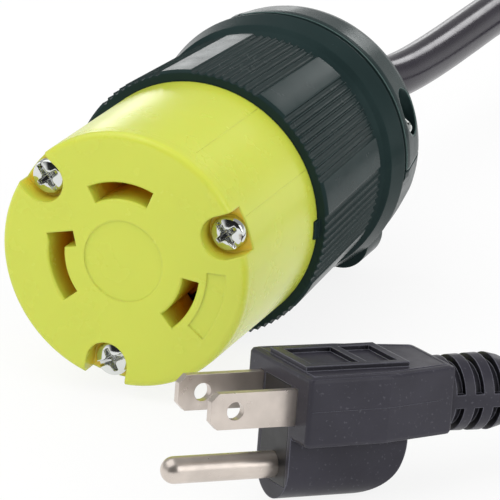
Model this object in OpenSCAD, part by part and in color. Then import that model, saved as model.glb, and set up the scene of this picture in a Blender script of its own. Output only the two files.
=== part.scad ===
// Power adapter cord: a three-slot locking connector, a round cord and a three-pin moulded plug.
// Millimetres. +Z is up, the connector's face looks along -Y, and everything stands on Z = 0.
// The connector is drawn from the front: X right, Y up, and depths run back from its face.

/* [Contact body] */
// Diameter of the yellow contact body
body_d = 49; // [48:0.5:50]
// Depth of the contact body, from its face to its rear end
body_len = 40; // [38:0.5:42]
// How much of the contact body shows ahead of the housing
body_show = 34.2; // [30:0.2:36]
// Rounding at the edge of the face
face_round = 1.2; // [0.6:0.1:2]
// Thickness of the front wall that the slots pass through
face_wall = 12; // [9:0.5:14]
// Diameter of the round field in the middle of the face
disc_d = 15.6; // [12:0.1:18]
// Depth of the shallow fields in the face
field_depth = 0.3; // [0.1:0.1:0.6]
// Width of the shallow curved field near the edge of the face
field_w = 3.7; // [2.5:0.1:4.5]
// Distance of that field from the edge of the face
field_edge = 4.1; // [3.6:0.1:5]
// Direction of the middle of that field
field_angle = -19.5; // [-24:0.5:-18]
// Angle that the field spans
field_span = 39.5; // [20:0.5:42]
// Clearance between pieces that fit into each other
fit_gap = 0.1; // [0.05:0.01:0.15]

/* [Slots] */
// Diameter of the circle that the slots lie on
slot_ring_d = 27; // [26.4:0.2:28]
// Width of a slot
slot_w = 3.2; // [2.8:0.1:3.6]
// Chamfer along a slot's mouth
slot_edge = 0.3; // [0.2:0.1:0.6]
// Direction of the first live slot
live_a_angle = 91.5; // [88:0.5:95]
// Angle that the first live slot spans
live_a_span = 51; // [44:1:54]
// Direction of the second live slot
live_b_angle = -29; // [-33:0.5:-26]
// Angle that the second live slot spans
live_b_span = 43; // [38:1:50]
// Direction of the earth slot
earth_angle = 192; // [189:0.5:196]
// Angle that the earth slot spans
earth_span = 51; // [44:1:54]
// Width of the earth slot's inward foot
foot_w = 3; // [2.4:0.1:3.4]
// How far the foot reaches inward of the slot
foot_in = 3.1; // [2:0.1:3.6]

/* [Contacts] */
// Diameter of the contact carrier inside the contact body
carrier_d = 35; // [34:0.5:35.5]
// Diameter of the carrier's rear end, inside the housing
carrier_rear_d = 32.4; // [31:0.2:33]
// Depth of the carrier's rear end, from the face
carrier_end = 55; // [53:0.5:58]
// Thickness of a contact's metal
leaf_t = 0.9; // [0.6:0.1:1]
// Gap between a contact's two leaves
leaf_gap = 1.9; // [1.6:0.1:2.1]
// Length of a contact's leaves
leaf_len = 16; // [12:0.5:18]
// Depth of the terminal screws, from the face
terminal_depth = 48; // [47:0.5:49]
// Diameter of a terminal screw's shank
terminal_screw_d = 3.6; // [3:0.1:4]
// Diameter of a terminal screw's head
terminal_head_d = 6.4; // [5.6:0.1:7]
// Height of a terminal screw's head
terminal_head_h = 1.8; // [1.4:0.1:2.2]
// Side of a terminal's square pressure plate
pressure_plate = 8; // [7.2:0.1:8.4]
// Thickness of a pressure plate
plate_t = 1.2; // [0.8:0.1:1.4]

/* [Face screws] */
// Diameter of the circle that the face screws lie on
screw_ring_d = 41.8; // [41.4:0.1:42]
// Direction of the first face screw
screw_first = 20; // [16:1:24]
// Diameter of a face screw's shank
screw_d = 4; // [3:0.1:4]
// Diameter of a face screw's head
head_d = 6.7; // [5.8:0.1:7]
// Height of a face screw's head
head_h = 2.5; // [2:0.1:3]
// How far the heads lie below the face
head_sink = 1.9; // [1:0.1:3]
// Width of the open notch round a screw head
notch_w = 8.3; // [7.6:0.1:9]
// Length of a face screw's shank
screw_len = 47; // [44:0.5:50]
// Outer diameter of the threaded inserts that take the face screws
insert_d = 5.6; // [5:0.1:6]
// Length of a threaded insert
insert_len = 8; // [6:0.5:10]
// Outer diameter of the bosses that hold the inserts
boss_d = 8; // [7.4:0.1:8.4]

/* [Housing] */
// Diameter of the housing at its front edge
ring_d = 53.3; // [52.8:0.1:55]
// Thickness of the housing's wall at its front edge
ring_wall = 2.25; // [1.6:0.05:2.5]
// Diameter of the ribbed grip at its rear end
waist_d = 50.6; // [50:0.1:52]
// Depth of the ribbed grip's rear end, from the face
waist_depth = 65.8; // [64:0.2:67]
// Largest diameter of the housing's rear rim, and of the clamp halves
rim_d = 54; // [53:0.1:56]
// Depth of the rim's rear end, from the face
rim_depth = 74.8; // [74:0.2:76]
// Depth of the neck groove between the grip and the rim
neck_cut = 1.2; // [0.5:0.1:1.4]
// Diameter of the hollow inside the housing
hollow_d = 41; // [40:0.5:42]
// Depth of the inside face of the rear wall
hollow_end = 69.8; // [68:0.2:70.5]
// Number of rib groups round the grip
rib_groups = 8; // [6:1:9]
// Number of grooves in a rib group
group_grooves = 9; // [5:1:10]
// Angle between one groove and the next
groove_pitch = 3.5; // [3:0.1:3.8]
// Radius of a groove
groove_r = 0.8; // [0.6:0.05:0.9]
// Depth of a groove
groove_depth = 0.6; // [0.3:0.05:0.8]
// Direction of the first smooth panel between rib groups
first_panel = 10; // [5:1:15]
// Width of the key that stops the contact body turning
key_w = 3.6; // [2.5:0.1:4.5]
// Direction of the key
key_angle = -3; // [-6:1:0]
// How far the key reaches into the contact body
key_in = 1.2; // [0.6:0.1:1.6]
// How far the key shows ahead of the housing
key_ahead = 1.8; // [0.5:0.1:2.5]

/* [Cord clamp] */
// Direction of the upper clamp half
clamp_angle = 52; // [48:1:56]
// Length of the clamp halves, along the connector
clamp_len = 12; // [11:0.2:13]
// Half the width of the housing's block between the clamp halves
seat_half = 14.4; // [13.6:0.2:15]
// Gap between a clamp half and the block when the clamp is closed
clamp_gap = 0.4; // [0.3:0.1:0.8]
// Distance from the connector's axis to the tip of a clamp jaw
jaw_reach = 3.4; // [2.6:0.2:4.2]
// Half the width of a clamp jaw
jaw_half = 7.6; // [7:0.1:8]
// Distance of the clamp screws from the cord's middle
clamp_screw_off = 14.5; // [14:0.1:15]
// Diameter of a clamp screw's shank
clamp_screw_d = 4; // [3:0.1:4]
// Thickness of the clamp half under a screw head
clamp_floor = 2.4; // [2:0.1:3]
// Width across the flats of a clamp nut
nut_flats = 7; // [6.4:0.1:7.2]
// Thickness of a clamp nut
nut_h = 2.8; // [2.4:0.1:3]
// Radius of the housing's rounded side lobes
lobe_r = 6; // [5:0.1:6]
// Distance of the lobes' middle from the connector's axis
lobe_ring_r = 22.5; // [21:0.1:22.5]
// Angle between the upper clamp half and a lobe
lobe_angle = 106.5; // [102:0.5:110]
// Distance of the slanted flanks from the connector's axis
flank_dist = 25.5; // [24.5:0.1:26.5]
// Direction of a flank, measured from the clamp's direction
flank_angle = 79.5; // [76:0.5:82]

/* [Cord] */
// Diameter of the cord's jacket
cord_d = 9.5; // [8.8:0.1:9.8]
// Diameter of an insulated conductor
wire_d = 3; // [2.4:0.1:3.2]
// Diameter of a bare conductor
strand_d = 1.6; // [1.2:0.1:1.8]
// Outer diameter of the bushing that the clamp grips
bushing_d = 14.6; // [13.6:0.1:14.8]
// Length of the bushing's tapered tail behind the clamp
tail_len = 25; // [20:1:40]
// Diameter of the bushing's flange inside the housing
bushing_flange_d = 19; // [17:0.5:22]

/* [Plug blades] */
// Distance between the two flat blades
blade_pitch = 12.7; // [12:0.1:13]
// Height of a blade
blade_h = 6.35; // [5.8:0.05:6.8]
// Thickness of a blade
blade_t = 1.5; // [1.3:0.1:1.7]
// Length of a blade outside the plug
blade_len = 16.2; // [15.9:0.1:18]
// Diameter of the hole in a blade
blade_hole_d = 3.2; // [2.8:0.1:3.6]
// Distance of the hole from the plug's face
blade_hole_at = 11.6; // [10.5:0.1:12.5]
// Diameter of the round earth pin
pin_d = 4.76; // [4.4:0.02:5]
// Length of the earth pin outside the plug
pin_len = 21.2; // [19:0.1:22]
// Drop from the blades to the earth pin
pin_drop = 11.9; // [11.5:0.1:12.3]
// Depth of the blades and the pin inside the plug
root_len = 11; // [9.5:0.5:12]

/* [Plug body] */
// Length of the plug's block, without its cord relief
block_len = 30.5; // [29:0.5:34]
// Width of the block at its face
block_w = 23.4; // [22.8:0.2:26]
// Width of the block at its rear end
block_rear_w = 15.8; // [15.2:0.2:19]
// Height of the block
block_h = 12.4; // [11.6:0.1:13]
// Rounding of the block's edges
block_round = 0.8; // [0.4:0.1:1.2]
// How far each side has drawn in at the crease of the block's outline
crease_in = 0.5; // [0.2:0.1:1.2]
// Width of the lobe round the earth pin
lobe_w = 12; // [10:0.2:13]
// Radius of the curve at the lobe's rear
lobe_curve = 10.5; // [8:0.5:12]
// Length of the lobe's straight underside
lobe_flat = 12.5; // [11.5:0.5:15]
// Height of the raised frame on top
frame_h = 0.9; // [0.5:0.1:1.2]
// Diameter of the moulded cord relief
relief_d = 13.8; // [13.4:0.1:15]
// Length of the moulded cord relief
relief_len = 15; // [14.5:0.5:20]
// Number of slots along the relief
relief_slots = 3; // [2:1:4]
// Distance from one relief slot to the next
relief_pitch = 3.7; // [3.4:0.1:4]
// Width of a relief slot
relief_slot_w = 1.7; // [1.2:0.1:2.2]
// Height of the rail that runs along each side of the relief
rail_h = 2.4; // [1.8:0.1:3.2]

/* [Hidden] */
$fn = 96;

yellow = [0.84, 0.88, 0.36];
housing_black = [0.13, 0.17, 0.17];
plug_grey = [0.2, 0.2, 0.22];
brass = [0.8, 0.65, 0.32];
steel = [0.8, 0.8, 0.8];

body_r = body_d / 2;
slot_r = slot_ring_d / 2;
screw_r = screw_ring_d / 2;
ring_r = ring_d / 2;
waist_r = waist_d / 2;
rim_r = rim_d / 2;
hollow_r = hollow_d / 2;
socket_r = ring_r - ring_wall;
spigot_r = socket_r - fit_gap;
cord_r = cord_d / 2;
wire_r = wire_d / 2;
bushing_r = bushing_d / 2;
seat_depth = head_sink + head_h;
far = 200;
tiny = 0.01;

// The rear face of the clamp and its edge rounding.
rear_depth = rim_depth + clamp_len;
rear_round = 3;
rear_taper = 1;
clamp_mid = rim_depth + clamp_len / 2;
tail_end = rear_depth + tail_len;

// The connector lies on its rim, with its middle over the origin.
axis_h = max(rim_r, ring_r);
face_y = -tail_end / 2;

// Parts of the clamp, along its own direction: the screw passes the nut by screw_past.
screw_past = 0.6;
head_room = 0.7;
cap_flat = seat_half + clamp_gap;
head_seat = cap_flat + clamp_floor;
nut_end = cap_flat + fit_gap + nut_h;
clamp_screw_len = head_seat + nut_end + screw_past;

// The plug lies on its lobe, with its nose a little up.
plug_at = [44.5, -89.5, 19.65];
plug_turn = [4.5, -7, 229];
relief_z = -0.8;
lobe_bottom = -pin_drop - lobe_w / 2;
jacket_face = -31.5;

// The cord's middle line, from inside the housing, round a loose bend and into the plug.
cord_route = [
  [0, 8, 27], [0, 20, 27], [0, 36, 27], [0, 57, 27], [0.3, 62.5, 26.7], [1, 68, 25.9],
  [1.9, 75, 24.9], [2.5, 82, 24.3], [2.9, 92, 23.8], [3.2, 104, 23.5], [3.4, 118, 23.3],
  [3.6, 132, 23.1], [4.1, 142, 22.8], [5.8, 154, 21.8], [9.8, 167, 19.5], [17.5, 179, 16.1],
  [29.5, 188.5, 12.2], [44.5, 194, 8.8], [60.5, 195, 6.2], [76.5, 191, 5.1], [90.5, 181, 4.9],
  [101, 166, 4.9], [107.8, 148, 4.9], [111.3, 128, 4.9], [112.6, 108, 4.9], [112.8, 88, 4.9],
  [112.6, 70, 4.9], [112.4, 53, 4.9], [112, 36.7, 4.9], [110.6, 22.2, 5.2], [108.1, 8.5, 5.9],
  [104.6, -4.4, 6.8], [100, -16.8, 7.9], [94.1, -28.6, 9.3], [86.9, -39.9, 11],
  [77, -52.1, 12.8], [65.2, -65.8, 15]
];

// --- Shared shapes -------------------------------------------------------------------------------

// Puts a shape drawn from the front, with depths along -Z, at the connector's place.
module connector() translate([0, face_y, axis_h]) rotate([90, 0, 0]) children();

// Puts a shape drawn with X along the blades at the plug's place.
module plug() translate(plug_at) rotate(plug_turn) children();

// A flat outline that runs from one depth to another.
module span(from, to) translate([0, 0, -to]) linear_extrude(to - from) children();

// A full turned shape, from points of radius and depth.
module turned(points) rotate_extrude() polygon([for (p = points) [p[0], -p[1]]]);

// A round bar along the depth.
module bar(r, from, to) span(from, to) circle(r);

// Part of a turned shape, centred on a direction.
module turned_part(points, middle, spread)
  rotate([0, 0, middle - spread / 2])
    rotate_extrude(angle = spread) polygon([for (p = points) [p[0], -p[1]]]);

// A curved block between two radii and two depths.
module arc_block(r_in, r_out, from, to, middle, spread)
  turned_part([[r_in, from], [r_out, from], [r_out, to], [r_in, to]], middle, spread);

// Repeats a shape at the three face screws.
module at_screw(i) rotate([0, 0, screw_first + 120 * i]) translate([screw_r, 0, 0]) children();

// Turns a shape drawn along +X into a terminal's direction.
module toward(angle) rotate([0, 0, angle]) children();

// A pan head, its top at Z = 0 and its shank below, with a slot right across and a cross arm.
module pan_screw(head_dia, height, shank_dia, length) {
  difference() {
    union() {
      rotate_extrude() polygon([
        [0, 0], [head_dia * 0.2, -0.05], [head_dia * 0.36, -height * 0.14],
        [head_dia * 0.46, -height * 0.36], [head_dia / 2, -height * 0.62],
        [head_dia / 2, -height], [0, -height]
      ]);
      translate([0, 0, -height - length]) cylinder(r = shank_dia / 2, h = length + tiny);
    }
    for (arm = [[0, 0.6], [90, 0.3]])
      rotate([0, 0, arm[0]])
        translate([-head_dia * arm[1], -head_dia * 0.07, -height * 0.5])
          cube([head_dia * 2 * arm[1], head_dia * 0.14, height]);
  }
}

// Unit vector, and the rings and faces of a round tube swept along points.
function unit(v) = v / norm(v);
function heading(p, i) = unit(p[min(i + 1, len(p) - 1)] - p[max(i - 1, 0)]);
function side_of(h) = unit(cross(h, abs(h[2]) > 0.9 ? [1, 0, 0] : [0, 0, 1]));
function ring_points(p, i, r, sides) =
  let (h = heading(p, i), u = side_of(h), v = cross(h, u))
  [for (k = [0:sides - 1])
    p[i] + r * cos(360 * k / sides) * u + r * sin(360 * k / sides) * v];
function ring_faces(i, sides) = [
  for (k = [0:sides - 1])
    let (a = i * sides + k, b = i * sides + (k + 1) % sides)
    each [[a, b, b + sides], [a, b + sides, a + sides]]
];
module tube(points, r, sides) {
  last = (len(points) - 1) * sides;
  polyhedron(
    points = [for (i = [0:len(points) - 1]) each ring_points(points, i, r, sides)],
    faces = concat(
      [[for (k = [sides - 1:-1:0]) k]],
      [for (i = [0:len(points) - 2]) each ring_faces(i, sides)],
      [[for (k = [0:sides - 1]) last + k]]
    )
  );
}

// --- Contact body --------------------------------------------------------------------------------

key_start = body_show - key_ahead;

module slot_cut(middle, spread) {
  r_in = slot_r - slot_w / 2;
  r_out = slot_r + slot_w / 2;
  turned_part([
    [r_in - slot_edge, -1], [r_out + slot_edge, -1], [r_out + slot_edge, 0], [r_out, slot_edge],
    [r_out, face_wall + 1], [r_in, face_wall + 1], [r_in, slot_edge], [r_in - slot_edge, 0]
  ], middle, spread);
}

// The earth slot's foot: a straight-sided cut towards the middle, which makes the slot's upper end.
foot_turn = 2.5;
module foot_cut() {
  top = -slot_r * sin(earth_span / 2) - 0.75;
  toward(earth_angle) span(-1, face_wall + 1)
    translate([slot_r - slot_w / 2 - foot_in, top]) square([foot_in + slot_w * 0.75, foot_w]);
}

module screw_notch() {
  span(-1, seat_depth) circle(notch_w / 2);
  span(-1, seat_depth) translate([0, -notch_w / 2]) square([far, notch_w]);
  bar(screw_d / 2 + fit_gap, seat_depth - 1, body_len + 1);
}

module front_body() color(yellow) connector() difference() {
  turned([
    [0, 0], [body_r - face_round, 0], [body_r - face_round * 0.62, face_round * 0.08],
    [body_r - face_round * 0.29, face_round * 0.29], [body_r - face_round * 0.08, face_round * 0.62],
    [body_r, face_round], [body_r, body_show - fit_gap], [spigot_r, body_show - fit_gap],
    [spigot_r, body_len], [0, body_len]
  ]);
  bar(carrier_d / 2 + fit_gap, face_wall, body_len + 1);
  slot_cut(live_a_angle, live_a_span);
  slot_cut(live_b_angle, live_b_span);
  slot_cut(earth_angle + foot_turn / 2, earth_span - foot_turn);
  foot_cut();
  for (i = [0:2]) at_screw(i) screw_notch();
  bar(disc_d / 2, -1, field_depth);
  arc_block(
    body_r - field_edge - field_w, body_r - field_edge, -1, field_depth, field_angle, field_span
  );
  toward(key_angle) span(key_start - fit_gap, body_len + 1)
    translate([spigot_r - key_in, -key_w / 2]) square([far, key_w]);
}

// --- Contacts ------------------------------------------------------------------------------------

leaf_in = slot_r - leaf_gap / 2;
leaf_out = slot_r + leaf_gap / 2;
leaf_start = face_wall + 0.5;
leaf_end = leaf_start + leaf_len;
strap_r = slot_r + leaf_t / 2;
strap_spread = 36;
window_w = pressure_plate + 1.4;
strap_tail = 5;
strap_end = terminal_depth + strap_tail;
plate_in = strap_r + strand_d + 0.2;
terminal_angles = [80, 320, 200];

// A contact: two curved leaves with a gap for the blade, joined behind, and a strap to its terminal.
module contact(middle, spread, terminal) color(brass) connector() difference() {
  union() {
    arc_block(leaf_in - leaf_t, leaf_in, leaf_start, leaf_end, middle, spread);
    arc_block(leaf_out, leaf_out + leaf_t, leaf_start, leaf_end, middle, spread);
    arc_block(leaf_in - leaf_t, leaf_out + leaf_t, leaf_end - tiny, leaf_end + leaf_t, middle, spread);
    arc_block(
      strap_r - leaf_t, strap_r, leaf_end, strap_end, terminal, strap_spread
    );
  }
  toward(terminal) translate([0, 0, -terminal_depth]) rotate([0, 90, 0])
    cylinder(r = terminal_screw_d / 2 + fit_gap, h = far);
}

module contact_live_a() contact(live_a_angle, live_a_span, terminal_angles[0]);
module contact_live_b() contact(live_b_angle, live_b_span, terminal_angles[1]);
module contact_earth() contact(earth_angle, earth_span, terminal_angles[2]);

module pocket_cut(middle, spread, terminal) {
  room = 0.3;
  side_turn = 2;
  arc_block(
    leaf_in - leaf_t - room, leaf_out + leaf_t + room, face_wall - 1, leaf_end + leaf_t + room,
    middle, spread + 2 * side_turn
  );
  arc_block(
    strap_r - leaf_t - room, strap_r + room, leaf_end, carrier_end + 1,
    terminal, strap_spread + side_turn
  );
  toward(terminal) span(terminal_depth - window_w / 2, carrier_end + 1)
    translate([strap_r - leaf_t - room - 3, -window_w / 2]) square([far, window_w]);
}

module contact_carrier() color([0.24, 0.2, 0.17]) connector() difference() {
  union() {
    bar(carrier_d / 2, face_wall + 0.1, body_len);
    bar(carrier_rear_d / 2, body_len - tiny, carrier_end);
  }
  pocket_cut(live_a_angle, live_a_span, terminal_angles[0]);
  pocket_cut(live_b_angle, live_b_span, terminal_angles[1]);
  pocket_cut(earth_angle, earth_span, terminal_angles[2]);
}

module pressure_plates() color(steel) connector()
  for (angle = terminal_angles)
    toward(angle) difference() {
      translate([plate_in, -pressure_plate / 2, -terminal_depth - pressure_plate / 2])
        cube([plate_t, pressure_plate, pressure_plate]);
      translate([0, 0, -terminal_depth]) rotate([0, 90, 0])
        cylinder(r = terminal_screw_d / 2 + fit_gap, h = far);
    }

module terminal_screw(angle)
  toward(angle)
    translate([plate_in + plate_t + terminal_head_h, 0, -terminal_depth]) rotate([0, 90, 0])
      pan_screw(
        terminal_head_d, terminal_head_h, terminal_screw_d,
        plate_in + plate_t - strap_r + 2 * leaf_t + terminal_screw_d / 4
      );

module terminal_screws() color(brass) connector() {
  terminal_screw(terminal_angles[0]);
  terminal_screw(terminal_angles[1]);
}
module terminal_screw_earth() color([0.15, 0.55, 0.25]) connector()
  terminal_screw(terminal_angles[2]);

// --- Face screws ---------------------------------------------------------------------------------

// Where each screw's slot came to rest when it was tightened.
slot_turns = [109, -14, 127];
module face_screw(i) color(steel) connector() at_screw(i)
  translate([0, 0, -head_sink + fit_gap / 2]) rotate([0, 0, slot_turns[i]])
    pan_screw(head_d, head_h, screw_d, screw_len);
module face_screw_a() face_screw(0);
module face_screw_b() face_screw(1);
module face_screw_c() face_screw(2);

insert_start = body_len + 2;
screw_end = seat_depth + screw_len;
tip_room = 1.6;
boss_floor = 3;
hole_end = screw_end + tip_room;
module screw_inserts() color(brass) connector()
  for (i = [0:2]) at_screw(i) difference() {
    bar(insert_d / 2, insert_start, insert_start + insert_len);
    bar(screw_d / 2 + fit_gap, insert_start - 1, insert_start + insert_len + 1);
  }

// --- Housing -------------------------------------------------------------------------------------

rim_front = waist_depth + 3.4;
grip_tilt = atan((ring_r - waist_r) / (waist_depth - body_show));

// The turned outline of the housing's rear end, shared by the clamp halves.
module rear_envelope() turned([
  [0, rim_depth - 1], [rim_r, rim_depth - 1], [rim_r, rim_depth + 2],
  [rim_r - rear_taper, rear_depth - rear_round],
  [rim_r - rear_taper - rear_round * 0.13, rear_depth - rear_round * 0.5],
  [rim_r - rear_taper - rear_round * 0.5, rear_depth - rear_round * 0.13],
  [rim_r - rear_taper - rear_round, rear_depth], [0, rear_depth]
]);

module half_plane(angle, distance)
  rotate([0, 0, angle]) translate([distance - far, -far / 2]) square([far, far]);

// The housing's block between the clamp halves, with slanted flanks.
module block_outline() intersection() {
  circle(rim_r);
  translate([-seat_half, -far / 2]) square([2 * seat_half, far]);
  half_plane(flank_angle, flank_dist);
  half_plane(-flank_angle, flank_dist);
}

module rear_block() toward(clamp_angle) difference() {
  union() {
    intersection() {
      span(rim_depth - tiny, rear_depth) block_outline();
      rear_envelope();
    }
    for (side = [-1, 1])
      rotate([0, 0, side * lobe_angle]) translate([lobe_ring_r, 0, 0]) turned([
        [0, rim_depth - tiny], [lobe_r, rim_depth - tiny], [lobe_r, rear_depth - 4],
        [lobe_r - 0.8, rear_depth - 2], [lobe_r - 2.5, rear_depth - 1], [0, rear_depth - 1]
      ]);
  }
  // Channel for the jaws and the bushing.
  span(rim_depth + 1, rear_depth + 1)
    translate([-far / 2, -jaw_half - 0.5]) square([far, 2 * jaw_half + 1]);
  // The lobes stay clear of the lower clamp half.
  span(rim_depth + 0.3, rear_depth + 1)
    translate([-far - seat_half, -far / 2]) square([far, far]);
  for (side = [-1, 1])
    at_clamp_screw(side)
      cylinder(r = clamp_screw_d / 2 + 2 * fit_gap, h = far, center = true);
}

// The grooves follow the grip's taper and run out into the neck.
groove_out = 1.5;
module grip_grooves() {
  run = waist_depth - body_show + groove_out;
  for (group = [0:rib_groups - 1], i = [0:group_grooves - 1]) {
    middle = first_panel + 360 / rib_groups * (group + 0.5);
    rotate([0, 0, middle + groove_pitch * (i - (group_grooves - 1) / 2)])
      translate([ring_r + groove_r - groove_depth, 0, -body_show + 1])
        rotate([0, grip_tilt, 0]) translate([0, 0, -run])
          cylinder(r = groove_r, h = run + 4, $fn = 24);
  }
}

// The key grows out of the socket's wall, by the given depth.
module housing_key(rooted) toward(key_angle) span(key_start, body_len)
  translate([spigot_r - key_in + fit_gap, -key_w / 2 + fit_gap])
    square([key_in + rooted, key_w - 2 * fit_gap]);

module housing() color(housing_black) connector() difference() {
  union() {
    turned([
      [0, body_show], [ring_r - 0.5, body_show], [ring_r, body_show + 0.5],
      [waist_r, waist_depth - 0.6], [waist_r - neck_cut, waist_depth],
      [waist_r - neck_cut, waist_depth + 1.4], [waist_r - neck_cut * 0.3, rim_front - 0.9],
      [rim_r - 1, rim_front], [rim_r, rim_depth - 0.8], [rim_r - 0.4, rim_depth],
      [0, rim_depth]
    ]);
    rear_block();
    housing_key(ring_wall * 0.2);
  }
  difference() {
    union() {
      bar(socket_r, body_show - 1, body_len + fit_gap);
      bar(hollow_r, body_len, hollow_end);
      bar(bushing_r + fit_gap, hollow_end - 1, rear_depth + 1);
    }
    for (i = [0:2]) at_screw(i) bar(boss_d / 2, body_len + 1, hole_end + boss_floor);
    housing_key(ring_wall * 0.4);
  }
  for (i = [0:2]) at_screw(i) {
    bar(screw_d / 2 + fit_gap, body_show - 1, hole_end);
    bar(insert_d / 2 + fit_gap / 2, insert_start, insert_start + insert_len);
  }
  grip_grooves();
}

// --- Cord clamp ----------------------------------------------------------------------------------

// A place on one of the two screws' lines, drawn along +X.
module at_clamp_screw(side)
  translate([0, side * clamp_screw_off, -clamp_mid]) rotate([0, 90, 0]) children();

// A six-sided prism whose flats face the cord.
module nut_prism(flats, from, to)
  translate([0, 0, from]) cylinder(r = flats / sqrt(3), h = to - from, $fn = 6);

// One clamp half on the +X side of the cord: a recessed screw head on one side, a nut on the other.
module clamp_half() difference() {
  union() {
    intersection() {
      span(rim_depth + clamp_gap, rear_depth)
        translate([cap_flat, -far / 2]) square([far, far]);
      rear_envelope();
    }
    span(rim_depth + 1.5, rear_depth - 1)
      translate([jaw_reach, -jaw_half]) square([cap_flat - jaw_reach + 1, 2 * jaw_half]);
  }
  bar(bushing_r + fit_gap, rim_depth, rear_depth + 1);
  at_clamp_screw(-1) {
    cylinder(r = clamp_screw_d / 2 + fit_gap, h = far);
    translate([0, 0, head_seat]) cylinder(r = head_d / 2 + head_room, h = far);
  }
  at_clamp_screw(1) {
    nut_prism(nut_flats + 2 * fit_gap, cap_flat - 1, nut_end + fit_gap);
    cylinder(r = clamp_screw_d / 2 + fit_gap, h = nut_end + 2 * screw_past);
  }
}

// The two halves are alike; the lower one is turned half round the cord.
module on_clamp(turn) connector() toward(clamp_angle + turn) children();
module clamp_upper() color(housing_black) on_clamp(0) clamp_half();
module clamp_lower() color(housing_black) on_clamp(180) clamp_half();

// A screw whose head lies in the half on the +X side.
module clamp_screw() at_clamp_screw(-1)
  translate([0, 0, head_seat + head_h + fit_gap / 2]) rotate([0, 0, 20])
    pan_screw(head_d, head_h, clamp_screw_d, clamp_screw_len);
module clamp_screw_right() color(steel) on_clamp(0) clamp_screw();
module clamp_screw_left() color(steel) on_clamp(180) clamp_screw();

// A nut in the half on the +X side.
module clamp_nut() at_clamp_screw(1) difference() {
  nut_prism(nut_flats, cap_flat + fit_gap, nut_end);
  cylinder(r = clamp_screw_d / 2 + fit_gap, h = far);
}
module clamp_nut_upper() color(steel) on_clamp(0) clamp_nut();
module clamp_nut_lower() color(steel) on_clamp(180) clamp_nut();

// The rubber bushing: a flange inside the housing, a gripped sleeve and a tapered tail.
module cord_bushing() color([0.1, 0.1, 0.11]) connector() difference() {
  turned([
    [0, hollow_end - 3.1], [bushing_flange_d / 2, hollow_end - 3.1],
    [bushing_flange_d / 2, hollow_end - 0.1], [bushing_r, hollow_end - 0.1],
    [bushing_r, rear_depth + 2], [cord_r + 2, rear_depth + tail_len * 0.55],
    [cord_r + 1.1, tail_end - 1], [cord_r + 0.7, tail_end], [0, tail_end]
  ]);
  bar(cord_r + fit_gap, hollow_end - 4, tail_end + 1);
}

// --- Conductors in the connector -----------------------------------------------------------------

jacket_end = cord_route[0][1] - face_y;
wire_row = strap_r + strand_d / 2 + 0.1;
wire_side = (terminal_screw_d + strand_d) / 2 + 0.5;
wire_stop = strap_end + 2 * fit_gap;

// A point given by a direction, a radius, a sideways offset and a depth.
function polar(angle, r, off, depth) = [
  r * cos(angle) - off * sin(angle), r * sin(angle) + off * cos(angle), -depth
];
function blend(a, b, t) = a * (1 - t) + b * t;
// From the jacket's end to a terminal, straight at both ends.
function wire_route(angle, near_angle) =
  let (
    a = polar(near_angle, wire_r * 1.2, 0, jacket_end - 0.2),
    b = polar(near_angle, wire_r * 1.25, 0, jacket_end - 2.5),
    c = polar(angle, wire_row, wire_side, wire_stop + 3),
    d = polar(angle, wire_row, wire_side, wire_stop)
  )
  [a, b, blend(b, c, 0.5), c, d];

module wire(index, near_angle, paint) color(paint) connector()
  tube(wire_route(terminal_angles[index], near_angle), wire_r, 8);
module wire_black() wire(0, 90, [0.05, 0.05, 0.05]);
module wire_white() wire(1, 330, [0.9, 0.9, 0.9]);
module wire_green() wire(2, 210, [0.1, 0.5, 0.2]);

// The bare ends under the pressure plates.
module wire_ends() color([0.8, 0.45, 0.25]) connector()
  for (angle = terminal_angles)
    toward(angle) translate([wire_row, wire_side, 0])
      bar(strand_d / 2, terminal_depth - 3, wire_stop);

// --- Cord ----------------------------------------------------------------------------------------

module cord() color([0.17, 0.16, 0.18]) tube(cord_route, cord_r, 12);

// --- Plug ----------------------------------------------------------------------------------------

relief_r = relief_d / 2;
crease_at = 0.52;

// The block's outline from above: nearly straight to a crease, then drawn in.
module block_plan() polygon([
  [0, block_w / 2], [-block_len * crease_at, block_w / 2 - crease_in], [-block_len, block_rear_w / 2],
  [-block_len, -block_rear_w / 2], [-block_len * crease_at, crease_in - block_w / 2], [0, -block_w / 2]
]);

// The block, with its edges rounded in two steps.
module block() hull()
  for (step = [[1, 0], [0.3, 0.3], [0, 1]])
    translate([0, 0, block_round * step[0] - block_h / 2])
      linear_extrude(block_h - 2 * block_round * step[0])
        offset(r = block_round) offset(delta = -block_round * (1 + step[1])) block_plan();

// The rounded lobe that carries the earth pin, below the block.
module pin_lobe() intersection() {
  rotate([90, 0, 0]) translate([0, 0, -lobe_w]) linear_extrude(2 * lobe_w) {
    translate([-lobe_flat, lobe_bottom]) square([lobe_flat, -lobe_bottom]);
    intersection() {
      translate([-lobe_flat, lobe_bottom + lobe_curve]) circle(lobe_curve);
      translate([-lobe_flat - far, lobe_bottom - 1]) square([far, -lobe_bottom]);
    }
  }
  rotate([0, -90, 0]) linear_extrude(far / 2) {
    translate([-pin_drop, 0]) circle(lobe_w / 2);
    translate([-pin_drop, -lobe_w / 2]) square([pin_drop, lobe_w]);
  }
}

// A rectangle centred across the block, between two shares of its length.
module across_block(from, to, half) translate([-block_len * to, -block_w * half])
  square([block_len * (to - from), block_w * half * 2]);

// The raised frame on top, with two sunk windows.
module top_frame() translate([0, 0, block_h / 2 - tiny]) linear_extrude(frame_h) difference() {
  across_block(0.05, 0.71, 0.29);
  across_block(0.11, 0.41, 0.225);
  across_block(0.46, 0.66, 0.225);
}

module along_relief() translate([0, 0, relief_z]) rotate([0, -90, 0]) children();

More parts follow.
